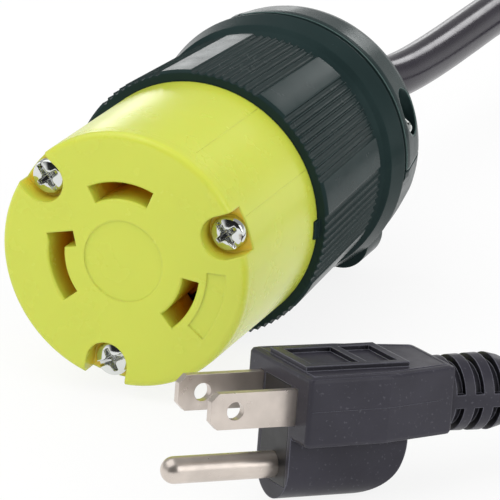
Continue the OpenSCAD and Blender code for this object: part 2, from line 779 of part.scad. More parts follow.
module relief_slots() along_relief() for (i = [0:relief_slots - 1])
  translate([0, 0, block_len + 1.4 + i * relief_pitch]) difference() {
    cylinder(r = far / 4, h = relief_slot_w);
    translate([0, 0, -1]) cylinder(r = cord_r + 0.8, h = relief_slot_w + 2);
    translate([-rail_h / 2, -far / 2, -1]) cube([rail_h, far, relief_slot_w + 2]);
  }

module relief() along_relief() rotate_extrude() polygon([
  [0, block_len - 2], [relief_r - 0.3, block_len - 2], [relief_r - 0.1, block_len + relief_len * 0.4],
  [relief_r, block_len + relief_len * 0.7], [relief_r - 0.5, block_len + relief_len * 0.84],
  [relief_r - 1.2, block_len + relief_len * 0.94], [cord_r + 0.7, block_len + relief_len],
  [0, block_len + relief_len]
]);

// The blades' and pin's places, and the straight runs of the conductors inside the plug.
crimp_r = 2.1;
crimp_len = 5;
root_ends = [
  [-root_len - crimp_len, blade_pitch / 2, 0],
  [-root_len - crimp_len, -blade_pitch / 2, 0],
  [-root_len - crimp_len, 0, -pin_drop]
];
function core_spot(k) =
  [jacket_face, wire_r * 1.2 * cos(120 * k + 30), relief_z + wire_r * 1.2 * sin(120 * k + 30)];

// A straight round bar from one point to another.
module rod(a, b, r) {
  d = b - a;
  translate(a)
    rotate([0, acos(d[2] / norm(d)), atan2(d[1], d[0])])
      cylinder(r = r, h = norm(d));
}

// The inner block stays inside the lobe's round underside and clear of the blades' outer faces.
bridge_low = 2.9;
bridge_half = min(
  blade_pitch / 2 - blade_t / 2 - 0.8, sqrt(pow(lobe_w / 2 - 0.4, 2) - pow(bridge_low, 2))
);
module bridge_shape(grow) {
  half = bridge_half + grow;
  low = pin_drop + bridge_low + grow;
  translate([-root_len + 1 - grow, -half, -low])
    cube([root_len - 1 + grow, 2 * half, low + blade_h / 2 + grow]);
}

module blade_pair_cut(grow)
  for (side = [-1, 1])
    translate([-root_len - grow, side * blade_pitch / 2 - blade_t / 2 - grow, -blade_h / 2 - grow])
      cube([root_len + 1, blade_t + 2 * grow, blade_h + 2 * grow]);

module pin_shape(grow) {
  translate([0, 0, -pin_drop]) rotate([0, -90, 0]) {
    cylinder(r = pin_d / 2 - 0.3 + grow, h = root_len + grow);
    translate([0, 0, 3 - grow]) cylinder(r = pin_d / 2 + 0.7 + grow, h = 2 + 2 * grow);
  }
}

module crimp(k, grow)
  translate(root_ends[k] - [grow, 0, 0]) rotate([0, 90, 0])
    cylinder(r = crimp_r + grow, h = crimp_len + 2 * grow);

// The insulation ends a little before the crimp.
strip_len = 0.8;
// The earth wire turns up at once, to stay inside the lobe; the other two run straight.
earth_turn = [-1.5, 0, 1.1];
earth_rise = [-2.7, 0, pin_drop - 4.4];
function wire_stops(k) = let (start = root_ends[k] - [strip_len, 0, 0])
  k == 2
    ? [start, start + earth_turn, start + earth_rise, core_spot(k)]
    : [start, core_spot(k)];
module plug_wire(k, grow) {
  stops = wire_stops(k);
  for (i = [1:len(stops) - 1]) rod(stops[i - 1], stops[i], wire_r + grow);
  if (len(stops) > 2)
    for (i = [1:len(stops) - 2]) translate(stops[i]) sphere(wire_r + grow);
}

module plug_body() color(plug_grey) plug() difference() {
  union() {
    block();
    pin_lobe();
    top_frame();
    relief();
  }
  relief_slots();
  along_relief() translate([0, 0, -jacket_face])
    cylinder(r = cord_r + 2.5 * fit_gap, h = far);
  bridge_shape(fit_gap);
  blade_pair_cut(fit_gap);
  pin_shape(fit_gap);
  for (k = [0:2]) {
    crimp(k, fit_gap);
    plug_wire(k, fit_gap);
  }
}

module plug_bridge() color([0.16, 0.16, 0.17]) plug() difference() {
  bridge_shape(0);
  blade_pair_cut(fit_gap);
  pin_shape(fit_gap);
}

// A flat blade with bevelled tip corners and a round hole, and its crimp inside the plug.
module blade(side, k) color([0.82, 0.78, 0.74]) plug() {
  bevel = 1.4;
  difference() {
    translate([0, side * blade_pitch / 2 + blade_t / 2, 0]) rotate([90, 0, 0])
      linear_extrude(blade_t) polygon([
        [-root_len, -blade_h / 2], [blade_len - bevel, -blade_h / 2],
        [blade_len, -blade_h / 2 + bevel], [blade_len, blade_h / 2 - bevel],
        [blade_len - bevel, blade_h / 2], [-root_len, blade_h / 2]
      ]);
    translate([blade_hole_at, side * blade_pitch / 2, 0]) rotate([90, 0, 0])
      cylinder(r = blade_hole_d / 2, h = 2 * blade_t, center = true);
  }
  difference() {
    crimp(k, 0);
    translate([-root_len - crimp_len - 1, side * blade_pitch / 2, 0]) rotate([0, 90, 0])
      cylinder(r = wire_r * 0.5, h = crimp_len);
  }
}
module blade_live() blade(1, 0);
module blade_neutral() blade(-1, 1);

module earth_pin() color([0.82, 0.78, 0.74]) plug() {
  pin_shape(0);
  translate([0, 0, -pin_drop]) {
    rotate([0, 90, 0]) cylinder(r = pin_d / 2, h = pin_len - pin_d / 2);
    translate([pin_len - pin_d / 2, 0, 0]) sphere(r = pin_d / 2);
  }
  crimp(2, 0);
}

module plug_wire_black() color([0.05, 0.05, 0.05]) plug() plug_wire(0, 0);
module plug_wire_white() color([0.9, 0.9, 0.9]) plug() plug_wire(1, 0);
module plug_wire_green() color([0.1, 0.5, 0.2]) plug() plug_wire(2, 0);

front_body();
contact_carrier();
contact_live_a();
contact_live_b();
contact_earth();
pressure_plates();
terminal_screws();
terminal_screw_earth();
face_screw_a();
face_screw_b();
face_screw_c();
screw_inserts();
housing();
clamp_upper();
clamp_lower();
clamp_screw_left();
clamp_screw_right();
clamp_nut_upper();
clamp_nut_lower();
cord_bushing();
wire_black();
wire_white();
wire_green();
wire_ends();
cord();
plug_body();
plug_bridge();
blade_live();
blade_neutral();
earth_pin();
plug_wire_black();
plug_wire_white();
plug_wire_green();
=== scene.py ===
"""Looks of the power cord: materials, small moulded details, the cord itself, light and camera."""
import math

import bmesh
import bpy
from mathutils import Euler, Matrix, Vector


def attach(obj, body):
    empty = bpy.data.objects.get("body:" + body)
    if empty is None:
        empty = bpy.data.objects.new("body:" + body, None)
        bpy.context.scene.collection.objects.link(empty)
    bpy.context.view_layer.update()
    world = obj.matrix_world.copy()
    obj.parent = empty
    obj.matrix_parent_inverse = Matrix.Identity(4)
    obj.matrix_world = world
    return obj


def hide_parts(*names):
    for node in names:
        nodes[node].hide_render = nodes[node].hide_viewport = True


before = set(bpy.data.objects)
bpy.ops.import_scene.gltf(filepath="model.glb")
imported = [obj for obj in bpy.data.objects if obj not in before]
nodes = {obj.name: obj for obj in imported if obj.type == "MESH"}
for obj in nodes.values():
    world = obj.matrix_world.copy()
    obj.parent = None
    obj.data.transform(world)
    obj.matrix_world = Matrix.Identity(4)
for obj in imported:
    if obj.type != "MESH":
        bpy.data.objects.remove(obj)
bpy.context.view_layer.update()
scene = bpy.context.scene
MM = 0.001

# The connector's own frame: X right, Z up from its axis, and depth back from its face (millimetres).
FACE_Y = -55.9
AXIS_H = 27.0
BODY_R = 24.5
CORD_R = 4.75

# The plug's own frame: X along the blades, Y across them, Z up (millimetres). Its block narrows from
# BLOCK_HALF at the front over the crease (its distance from the front, its half width) to REAR_HALF.
PLUG_AT = Vector((44.5, -89.5, 19.65))
PLUG_TURN = Euler([math.radians(a) for a in (4.5, -7, 229)]).to_matrix()
BLOCK_LEN = 30.5
BLOCK_HALF = 11.7
CREASE = (0.52 * BLOCK_LEN, 11.2)
REAR_HALF = 7.9
BLOCK_H = 12.4


def at_connector(angle, radius, depth):
    """A place round the connector's axis: direction in degrees, distance and depth."""
    a = math.radians(angle)
    return Vector((radius * math.cos(a), FACE_Y + depth, AXIS_H + radius * math.sin(a)))


def at_plug(x, y, z):
    """A place in the plug's own frame."""
    return PLUG_AT + PLUG_TURN @ Vector((x, y, z))


# --- Camera ---------------------------------------------------------------------------------------

# A long lens before the connector's face, to its right and above it, so that it shows little perspective.
camera = bpy.data.objects.new("camera", bpy.data.cameras.new("camera"))
scene.collection.objects.link(camera)
camera.location = (0.28839, -0.6797, 0.27498)
camera.rotation_euler = Euler((math.radians(70.314), 0, math.radians(22.874)))
camera.data.sensor_width = 36
camera.data.lens = 288
camera.data.clip_start = 0.01
scene.camera = camera


# --- Materials ------------------------------------------------------------------------------------

def linear(colour):
    """An sRGB colour as the shader wants it."""
    return [c / 12.92 if c <= 0.04045 else ((c + 0.055) / 1.055) ** 2.4 for c in colour] + [1]


class Mat:
    """A procedural material: mottled colour, rounded edges with a painted highlight, painted shade in
    recesses, fine bump.
    """

    def __init__(self, name, colour, rough, metal=0.0, **sockets):
        self.mat = bpy.data.materials.new(name)
        self.mat.use_nodes = True
        self.tree = self.mat.node_tree
        self.shader = self.tree.nodes["Principled BSDF"]
        self.shader.inputs["Metallic"].default_value = metal
        for key, value in sockets.items():
            self.shader.inputs[key.replace("_", " ")].default_value = value
        self.colour = linear(colour)
        self.rough = rough
        self.normal = None
        self.tint = None
        self.coord = self.add("ShaderNodeTexCoord").outputs["Object"]

    def add(self, kind, **values):
        """Adds a node and sets its options."""
        node = self.tree.nodes.new(kind)
        for key, value in values.items():
            setattr(node, key, value)
        return node

    def link(self, source, target):
        self.tree.links.new(source, target)

    def turned(self, matrix, scale=(1, 1, 1)):
        """Coordinates in a turned and stretched frame, for grain that follows a tilted piece."""
        turn = self.add("ShaderNodeMapping")
        turn.inputs["Rotation"].default_value = matrix.transposed().to_euler()
        self.link(self.coord, turn.inputs["Vector"])
        stretch = self.add("ShaderNodeMapping")
        stretch.inputs["Scale"].default_value = scale
        self.link(turn.outputs["Vector"], stretch.inputs["Vector"])
        return stretch.outputs["Vector"]

    def noise(self, scale, detail=4.0, rough=0.55, coord=None):
        """Cloudy values from 0 to 1, with more of them to the metre as the scale grows."""
        node = self.add("ShaderNodeTexNoise")
        node.inputs["Scale"].default_value = scale
        node.inputs["Detail"].default_value = detail
        node.inputs["Roughness"].default_value = rough
        self.link(coord or self.coord, node.inputs["Vector"])
        return node.outputs["Fac"]

    def ramp(self, source, low, high, from_value, to_value):
        """Runs from one value to another while the source goes from low to high."""
        node = self.add("ShaderNodeMapRange")
        node.inputs["From Min"].default_value = low
        node.inputs["From Max"].default_value = high
        node.inputs["To Min"].default_value = from_value
        node.inputs["To Max"].default_value = to_value
        self.link(source, node.inputs["Value"])
        return node.outputs["Result"]

    def mix(self, factor, a, b):
        """Blends two colours, each given as numbers or as a socket."""
        node = self.add("ShaderNodeMix", data_type="RGBA")
        for slot, value in (("A", a), ("B", b)):
            socket = [s for s in node.inputs if s.name == slot and s.type == "RGBA"][0]
            if isinstance(value, (list, tuple)):
                socket.default_value = value
            else:
                self.link(value, socket)
        self.link(factor, node.inputs["Factor"])
        return [s for s in node.outputs if s.type == "RGBA"][0]

    def mottle(self, scale, amount, coord=None):
        """Slow variation of the colour, darker and lighter by the amount."""
        dark = [c * (1 - amount) for c in self.colour[:3]] + [1]
        light = [min(1, c * (1 + amount)) for c in self.colour[:3]] + [1]
        factor = self.ramp(self.noise(scale, 3, 0.5, coord), 0.3, 0.7, 0, 1)
        self.tint = self.mix(factor, dark, light)
        return self

    def hollow_shade(self, distance, colour, amount, low=0.15, high=0.8):
        """Painted shade: a deeper tint where the surface is closed in, as in slots and recesses."""
        node = self.add("ShaderNodeAmbientOcclusion", samples=12, only_local=True)
        node.inputs["Distance"].default_value = distance
        factor = self.ramp(node.outputs["AO"], low, high, amount, 0)
        self.tint = self.mix(factor, self.tint or self.colour, linear(colour))
        return self

    def painted_slot_shade(self, colour, amount):
        """Painted amber shade down the walls of the contact body's openings, within its outer surface."""
        start, full = FACE_Y + 0.6, FACE_Y + 8
        skin_out, skin_in = BODY_R - 0.2, BODY_R - 0.4
        split = self.add("ShaderNodeSeparateXYZ")
        self.link(self.coord, split.inputs[0])
        depth = self.ramp(split.outputs["Y"], start * MM, full * MM, 0, amount)
        spot = self.add("ShaderNodeVectorMath", operation="MULTIPLY_ADD")
        self.link(self.coord, spot.inputs[0])
        spot.inputs[1].default_value = (1, 0, 1)
        spot.inputs[2].default_value = (0, 0, -AXIS_H * MM)
        radius = self.add("ShaderNodeVectorMath", operation="LENGTH")
        self.link(spot.outputs["Vector"], radius.inputs[0])
        within = self.ramp(radius.outputs["Value"], skin_in * MM, skin_out * MM, 1, 0)
        both = self.add("ShaderNodeMath", operation="MULTIPLY")
        self.link(depth, both.inputs[0])
        self.link(within, both.inputs[1])
        self.tint = self.mix(both.outputs[0], self.tint or self.colour, linear(colour))
        return self

    def edges(self, radius, colour=None, amount=0.6):
        """Rounded edges, and a pale tint along them that is a painted highlight."""
        bevel = self.add("ShaderNodeBevel", samples=8)
        bevel.inputs["Radius"].default_value = radius
        self.normal = bevel.outputs["Normal"]
        if colour is not None:
            geometry = self.add("ShaderNodeNewGeometry")
            dot = self.add("ShaderNodeVectorMath", operation="DOT_PRODUCT")
            self.link(bevel.outputs["Normal"], dot.inputs[0])
            self.link(geometry.outputs["True Normal"], dot.inputs[1])
            edge_highlight_mask = self.ramp(dot.outputs["Value"], 0.97, 0.75, 0, amount)
            self.tint = self.mix(edge_highlight_mask, self.tint or self.colour, linear(colour))
        return self

    def flecks(self, scale, colour, amount):
        """Small scattered specks of dust or wear."""
        factor = self.ramp(self.noise(scale, 2, 0.4), 0.66, 0.74, 0, amount)
        self.tint = self.mix(factor, self.tint or self.colour, linear(colour))
        return self

    def bump(self, source, strength, distance):
        """Fine grain on top of the rounded edges."""
        node = self.add("ShaderNodeBump")
        node.inputs["Strength"].default_value = strength
        node.inputs["Distance"].default_value = distance
        self.link(source, node.inputs["Height"])
        if self.normal is not None:
            self.link(self.normal, node.inputs["Normal"])
        self.normal = node.outputs["Normal"]
        return self

    def finish(self, spread=0.05, scale=300):
        """Links what has been gathered, and varies the roughness a little."""
        if self.tint is None:
            self.shader.inputs["Base Color"].default_value = self.colour
        else:
            self.link(self.tint, self.shader.inputs["Base Color"])
        rough = self.ramp(self.noise(scale, 3), 0.3, 0.7, self.rough - spread, self.rough + spread)
        self.link(rough, self.shader.inputs["Roughness"])
        if self.normal is not None:
            self.link(self.normal, self.shader.inputs["Normal"])
        return self.mat


def nylon_yellow():
    """Satin moulded nylon, with painted amber shade down its slots and a painted highlight along its
    edges.
    """
    m = Mat("yellow_nylon", (0.81, 0.845, 0.30), 0.26, Subsurface_Weight=0.1, Subsurface_Scale=0.002)
    # The amber down the slots is painted shade, and the pale colour on the edges a painted highlight.
    m.mottle(60, 0.02).painted_slot_shade((1.0, 0.71, 0.02), 0.9)
    m.edges(0.0005, (0.88, 0.90, 0.36), 0.6)
    m.bump(m.noise(700, 3, 0.5), 0.02, 0.00003)
    return m.finish(0.03, 150)


def nylon_dark(name, radius, edge_highlight, amount):
    """Green-black moulded nylon with a cool sheen, and a painted highlight along its edges."""
    cool = (0.7, 1.0, 0.98, 1)
    m = Mat(name, (0.135, 0.19, 0.19), 0.24, Specular_IOR_Level=0.07, Specular_Tint=cool)
    m.mottle(90, 0.08).edges(radius, edge_highlight, amount)
    m.bump(m.noise(2400, 5, 0.6), 0.06, 0.00003)
    return m.finish(0.04, 220)


def vinyl_plug():
    """Charcoal moulded vinyl with specks, painted black shade in its recesses and a painted highlight
    along its edges.
    """
    m = Mat("plug_vinyl", (0.205, 0.20, 0.232), 0.34, Specular_IOR_Level=0.2)
    # Painted black shade in the recesses, and a painted highlight along the edges.
    m.mottle(110, 0.12).hollow_shade(0.004, (0.01, 0.01, 0.02), 0.95, 0.35, 0.72)
    m.flecks(1700, (0.42, 0.42, 0.45), 0.3).edges(0.0004, (0.50, 0.50, 0.55), 0.8)
    m.bump(m.noise(3200, 5, 0.65), 0.10, 0.00004)
    return m.finish(0.06, 260)


def vinyl_cord():
    """Smooth jacket with a violet sheen."""
    violet = (0.97, 0.94, 1.0, 1)
    m = Mat("cord_vinyl", (0.135, 0.12, 0.16), 0.22, Specular_IOR_Level=0.3, Specular_Tint=violet)
    m.mottle(70, 0.08)
    m.bump(m.noise(2600, 4, 0.6), 0.06, 0.00003)
    return m.finish(0.03, 120)


def plain(name, colour, rough, radius=0.0002):
    """Moulded or extruded plastic that shows little."""
    m = Mat(name, colour, rough)
    m.mottle(120, 0.08).edges(radius)
    m.bump(m.noise(1800, 4, 0.6), 0.12, 0.00003)
    return m.finish()


def metal(name, colour, rough, grain=900, grime_and_shade=(0.25, 0.24, 0.20), pure=1.0, spots=0.05,
          drawn=False, amount=0.10):
    """Plated, stamped or drawn metal; drawn metal has its grain along the plug's blades."""
    m = Mat(name, colour, rough, metal=pure)
    # Painted shade, with some grime, darkens its recesses.
    m.mottle(180, spots).hollow_shade(0.0015, grime_and_shade, 0.7)
    m.edges(0.00012)
    coord = m.turned(PLUG_TURN, (0.12, 1, 1)) if drawn else None
    m.bump(m.noise(grain, 4, 0.6, coord), amount, 0.00002)
    return m.finish(0.05, 500)


yellow = nylon_yellow()
# The pale colours given to the housing and clamp nylons are painted highlights along their edges.
housing_dark = nylon_dark("housing_nylon", 0.0004, (0.24, 0.33, 0.32), 0.2)
clamp_dark = nylon_dark("clamp_nylon", 0.0006, (0.55, 0.66, 0.64), 0.55)
vinyl = vinyl_plug()
jacket = vinyl_cord()
carrier = plain("carrier_plastic", (0.22, 0.13, 0.07), 0.5)
bridge = plain("bridge_plastic", (0.10, 0.10, 0.11), 0.42)
rubber = plain("bushing_rubber", (0.08, 0.08, 0.09), 0.5, 0.0004)
black_wire = plain("insulation_black", (0.05, 0.05, 0.05), 0.4)
white_wire = plain("insulation_white", (0.88, 0.88, 0.86), 0.4)
green_wire = plain("insulation_green", (0.10, 0.50, 0.20), 0.4)
steel = metal("plated_steel", (0.86, 0.87, 0.86), 0.08)
brass = metal("contact_brass", (0.80, 0.55, 0.25), 0.3)
copper = metal("copper", (0.85, 0.50, 0.30), 0.35, 3000)
blade_metal = metal("blade_metal", (0.82, 0.78, 0.745), 0.32, 2200, grime_and_shade=(0.45, 0.40, 0.36),
                    pure=0.88, spots=0.12, drawn=True, amount=0.12)
green_metal = metal("green_screw", (0.15, 0.55, 0.25), 0.3)

dress = {
    yellow: ["front_body"],
    housing_dark: ["housing"],
    clamp_dark: ["clamp_upper", "clamp_lower"],
    carrier: ["contact_carrier"],
    brass: ["contact_live_a", "contact_live_b", "contact_earth", "terminal_screws", "screw_inserts"],
    steel: ["pressure_plates", "face_screw_a", "face_screw_b", "face_screw_c", "clamp_screw_left",
            "clamp_screw_right", "clamp_nut_upper", "clamp_nut_lower"],
    green_metal: ["terminal_screw_earth"],
    rubber: ["cord_bushing"],
    black_wire: ["wire_black", "plug_wire_black"],
    white_wire: ["wire_white", "plug_wire_white"],
    green_wire: ["wire_green", "plug_wire_green"],
    copper: ["wire_ends"],
    jacket: ["cord"],
    vinyl: ["plug_body"],
    bridge: ["plug_bridge"],
    blade_metal: ["blade_live", "blade_neutral", "earth_pin"],
}
for material, names in dress.items():
    for name in names:
        nodes[name].data.materials.clear()
        nodes[name].data.materials.append(material)


# --- Mesh helpers ---------------------------------------------------------------------------------

def piece_from(bm, name, material, body):
    """Turns a bmesh in millimetres into a named piece that rides on a body; its end caps stay flat."""
    bmesh.ops.recalc_face_normals(bm, faces=bm.faces)
    bmesh.ops.scale(bm, vec=(MM, MM, MM), verts=bm.verts)
    mesh = bpy.data.meshes.new(name)
    bm.to_mesh(mesh)
    bm.free()
    for face in mesh.polygons:
        face.use_smooth = len(face.vertices) <= 4
    mesh.materials.append(material)
    piece = bpy.data.objects.new(name, mesh)
    scene.collection.objects.link(piece)
    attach(piece, body)
    return piece


def skin(bm, rings, closed=False):
    """Joins rings of vertices with quads, and caps the ends unless the rings close on themselves."""
    pairs = list(zip(rings, rings[1:]))
    if closed:
        pairs.append((rings[-1], rings[0]))
    for a, b in pairs:
        for k in range(len(a)):
            bm.faces.new((a[k], a[(k + 1) % len(a)], b[(k + 1) % len(a)], b[k]))
    if not closed:
        bm.faces.new(list(reversed(rings[0])))
        bm.faces.new(rings[-1])


def spokes(count):
    """The angles of evenly spread points on a circle."""
    return [2 * math.pi * k / count for k in range(count)]


def tube(bm, points, radius, sides, closed=False, up=Vector((0, 0, 1))):
    """A round tube along the points."""
    count = len(points)
    rings = []
    for i, q in enumerate(points):
        after = points[(i + 1) % count] if closed else points[min(i + 1, count - 1)]
        before = points[i - 1] if closed else points[max(i - 1, 0)]
        ahead = (after - before).normalized()
        side = ahead.cross(up)
        side = side.normalized() if side.length > 1e-3 else Vector((1, 0, 0))
        top = side.cross(ahead).normalized()
        offsets = [math.cos(t) * side + math.sin(t) * top for t in spokes(sides)]
        rings.append([bm.verts.new(q + radius * offset) for offset in offsets])
    skin(bm, rings, closed)


def beads(name, lines, radius, material, up=Vector((0, 0, 1))):
    """Fine moulded ridges: each line is a list of points, closed where its last point is its first."""
    bm = bmesh.new()
    for points in lines:
        closed = (points[0] - points[-1]).length < 1e-6
        tube(bm, points[:-1] if closed else points, radius, 6, closed, up)
    piece_from(bm, name, material, "cord_set")


# --- Cord -----------------------------------------------------------------------------------------

# The cord's middle line, from inside the bushing, out and round to the plug's relief (millimetres).
ROUTE = [
    (0, 30, 27), (0, 57, 27), (0.3, 62.5, 26.7), (1, 68, 25.9), (1.9, 75, 24.9), (2.5, 82, 24.3),
    (2.9, 92, 23.8), (3.2, 104, 23.5), (3.4, 118, 23.3), (3.6, 132, 23.1), (4.1, 142, 22.8),
    (5.8, 154, 21.8), (9.8, 167, 19.5), (17.5, 179, 16.1), (29.5, 188.5, 12.2), (44.5, 194, 8.8),
    (60.5, 195, 6.2), (76.5, 191, 5.1), (90.5, 181, 4.9), (101, 166, 4.9), (107.8, 148, 4.9),
    (111.3, 128, 4.9), (112.6, 108, 4.9), (112.8, 88, 4.9), (112.6, 70, 4.9), (112.4, 53, 4.9),
    (112, 36.7, 4.9), (110.6, 22.2, 5.2), (108.1, 8.5, 5.9), (104.6, -4.4, 6.8), (100, -16.8, 7.9),
    (94.1, -28.6, 9.3), (86.9, -39.9, 11), (77, -52.1, 12.8), (65.2, -65.8, 15),
]


def smooth_route(points, per_span):
    """A smooth line through the points (centripetal Catmull-Rom)."""
    p = [Vector(q) for q in points]
    p = [2 * p[0] - p[1]] + p + [2 * p[-1] - p[-2]]
    out = []
    for i in range(1, len(p) - 2):
        a, b, c, d = p[i - 1], p[i], p[i + 1], p[i + 2]
        t1 = (b - a).length ** 0.5
        t2 = t1 + (c - b).length ** 0.5
        t3 = t2 + (d - c).length ** 0.5
        for k in range(per_span):
            t = t1 + (t2 - t1) * k / per_span
            a1 = a * ((t1 - t) / t1) + b * (t / t1)
            a2 = b * ((t2 - t) / (t2 - t1)) + c * ((t - t1) / (t2 - t1))
            a3 = c * ((t3 - t) / (t3 - t2)) + d * ((t - t2) / (t3 - t2))
            b1 = a1 * ((t2 - t) / t2) + a2 * (t / t2)
            b2 = a2 * ((t3 - t) / (t3 - t1)) + a3 * ((t - t1) / (t3 - t1))
            out.append(b1 * ((t2 - t) / (t2 - t1)) + b2 * ((t - t1) / (t2 - t1)))
    out.append(p[-2])
    return out


STEPS_PER_SPAN = 6
CORD_SIDES = 48
cord_line = smooth_route(ROUTE, STEPS_PER_SPAN)
cord_mesh = bmesh.new()
tube(cord_mesh, cord_line, CORD_R, CORD_SIDES)
cord = piece_from(cord_mesh, "cord_jacket", jacket, "cord_set")
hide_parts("cord")


# --- Screws ---------------------------------------------------------------------------------------

# Pan heads with a slot right across and a deeper cross, which narrows and rises outward (millimetres).
HEAD_R = 3.35
HEAD_H = 2.5
SHANK_R = 2.0
SLOT_HALF = 0.47
SLOT_DEPTH = 0.8
CROSS_HALF = 0.66
CROSS_TAPER = 0.13
CROSS_REACH = 2.35
CROSS_DEPTH = 1.9
CROSS_SLOPE = 0.55
CENTRE_R = 1.15
CENTRE_DEPTH = 1.4
DOME_FALL = 0.26
RIM_START = 0.86
RIM_FALL = 0.34
THREAD_PITCH = 0.7
THREAD_DEPTH = 0.35
HEAD_RINGS = 56
HEAD_SPOKES = 112


def share(value):
    """The value held between 0 and 1."""
    return max(0.0, min(1.0, value))


def recess_depth(x, y):
    """Depth of the recess under a point of the head: a slot right across, and a cross in the middle."""
    depth = SLOT_DEPTH * share((SLOT_HALF - abs(y)) / 0.12 + 0.5)
    for along, across in ((abs(x), abs(y)), (abs(y), abs(x))):
        wall = share((CROSS_HALF - CROSS_TAPER * along - across) / 0.14 + 0.5)
        end = share((CROSS_REACH - along) / 0.35)
        depth = max(depth, wall * end * (CROSS_DEPTH - CROSS_SLOPE * along))
    centre = share((CENTRE_R - math.hypot(x, y)) / 0.3)
    return max(depth, centre * CENTRE_DEPTH)


def dome(r):
    """Height of a pan head's top at a distance from its middle: nearly flat, with a rounded rim."""
    out = share(r / HEAD_R)
    rim = max(0.0, (out - RIM_START) / (1 - RIM_START))
    return HEAD_H * (1 - DOME_FALL * out ** 2 - RIM_FALL * (1 - math.sqrt(1 - 0.98 * rim * rim)))


def thread_profile(length):
    """Radius and height of the shank's rolled thread rings, from under the head down to its tip."""
    profile = [(HEAD_R, 0.0), (SHANK_R, 0.0)]
    for i in range(int((length - 1) / THREAD_PITCH)):
        crest = -0.5 - i * THREAD_PITCH
        profile += [(SHANK_R, crest), (SHANK_R - THREAD_DEPTH, crest - THREAD_PITCH / 2)]
    return profile + [(SHANK_R - 0.4, -length)]


def screw(name, node, head_base, axis, side, turn, length):
    """A pan-head screw in place of a node, riding on the node's own body; head_base is under its head."""
    basis = Matrix((side, axis.cross(side), axis)).transposed()
    basis = basis @ Matrix.Rotation(math.radians(turn), 3, "Z")
    bm = bmesh.new()

    def ring(r, height_at):
        spots = [(r * math.cos(t), r * math.sin(t)) for t in spokes(HEAD_SPOKES)]
        return [bm.verts.new(head_base + basis @ Vector((x, y, height_at(x, y)))) for x, y in spots]

    rings = []
    for i in range(1, HEAD_RINGS + 1):
        r = HEAD_R * i / HEAD_RINGS
        rings.append(ring(r, lambda x, y: dome(r) - recess_depth(x, y)))
    for r, z in thread_profile(length):
        rings.append(ring(r, lambda x, y: z))
    skin(bm, rings)
    piece = piece_from(bm, name, steel, node)
    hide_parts(node)


# The three long screws of the face, each with its head just below the face.
SCREW_ANGLES = (20, 140, 260)
FACE_SCREW_TURNS = (129, 126, 27)
SCREW_RING_R = 20.9
HEAD_SINK = 1.95
FACE_SCREW_LEN = 47
for letter, angle, turn in zip("abc", SCREW_ANGLES, FACE_SCREW_TURNS):
    base = at_connector(angle, SCREW_RING_R, HEAD_SINK + HEAD_H)
    screw("face_screw_head_" + letter, "face_screw_" + letter, base,
          Vector((0, -1, 0)), Vector((1, 0, 0)), turn, FACE_SCREW_LEN)

# The two clamp screws, one down through each half along the clamp's direction.
CLAMP = Vector((0.61566148, 0, 0.78801075))
ACROSS = Vector((-0.78801075, 0, 0.61566148))
CLAMP_MID = Vector((0, FACE_Y + 80.8, AXIS_H))
CLAMP_HEAD_SEAT = 17.25
CLAMP_SCREW_OUT = 14.5
CLAMP_SCREW_LEN = 35.5
CLAMP_SCREW_TURN = 25
for sign, name in ((1, "right"), (-1, "left")):
    base = CLAMP_MID + sign * (CLAMP_HEAD_SEAT * CLAMP - CLAMP_SCREW_OUT * ACROSS)
    screw("clamp_screw_head_" + name, "clamp_screw_" + name, base,
          sign * CLAMP, Vector((0, 1, 0)), CLAMP_SCREW_TURN, CLAMP_SCREW_LEN)


# --- Moulded lines --------------------------------------------------------------------------------

def arc(radius, depth, start, end, steps):
    """Places round the connector, from angle to angle."""
    return [at_connector(start + (end - start) * k / steps, radius, depth) for k in range(steps + 1)]


def along_barrel(angle, start, end, steps=8):
    """Places along the yellow body, from depth to depth."""
    return [at_connector(angle, BODY_R - 0.02, start + (end - start) * k / steps)
            for k in range(steps + 1)]


# Faint lines along the yellow body, and two rings near its face that stop short of the screws' notches.
NOTCH_HALF_ANGLE = 14
# The ridges' paler yellow is a painted highlight along them.
ridge_highlight_yellow = plain("yellow_ridge_highlight", (0.86, 0.88, 0.40), 0.2)
barrel_lines = [along_barrel(angle, 5.0, 33.5) for angle in (24.5, 59.0, 150.0, 204.5, 300.0)]
for depth in (2.6, 3.5):
    for angle in SCREW_ANGLES:
        start, end = angle + NOTCH_HALF_ANGLE, angle + 120 - NOTCH_HALF_ANGLE
        barrel_lines.append(arc(BODY_R - 0.03, depth, start, end, 60))
beads("barrel_mould_lines", barrel_lines, 0.05, ridge_highlight_yellow)


def block_outline(inset, z):
    """The plug block's outline at a height, drawn in by the inset."""
    half = [(-inset, BLOCK_HALF - inset), (-CREASE[0], CREASE[1] - inset),
            (-BLOCK_LEN + inset, REAR_HALF - inset)]
    return [(x, y, z) for x, y in half] + [(x, -y, z) for x, y in reversed(half)]


def run(points, steps):
    """Places along straight runs from point to point of the plug."""
    out = []
    for a, b in zip(points, points[1:]):
        out += [at_plug(*Vector(a).lerp(Vector(b), k / steps)) for k in range(steps)]
    return out + [at_plug(*points[-1])]


# The seam of the mould along both sides of the plug's block, and a rounded bead on the block's top.
PARTING_Z = 0.3
PARTING_START = -0.6
PARTING_CREASE = (-CREASE[0], CREASE[1] + 0.01)
PARTING_END = (-0.9 * BLOCK_LEN, 8.6)


def parting_line(side, start_half, steps):
    """The seam along one side of the block, from near its front past the crease."""
    corners = ((PARTING_START, start_half), PARTING_CREASE, PARTING_END)
    return run([(x, side * y, PARTING_Z) for x, y in corners], steps)


plug_up = PLUG_TURN @ Vector((0, 0, 1))
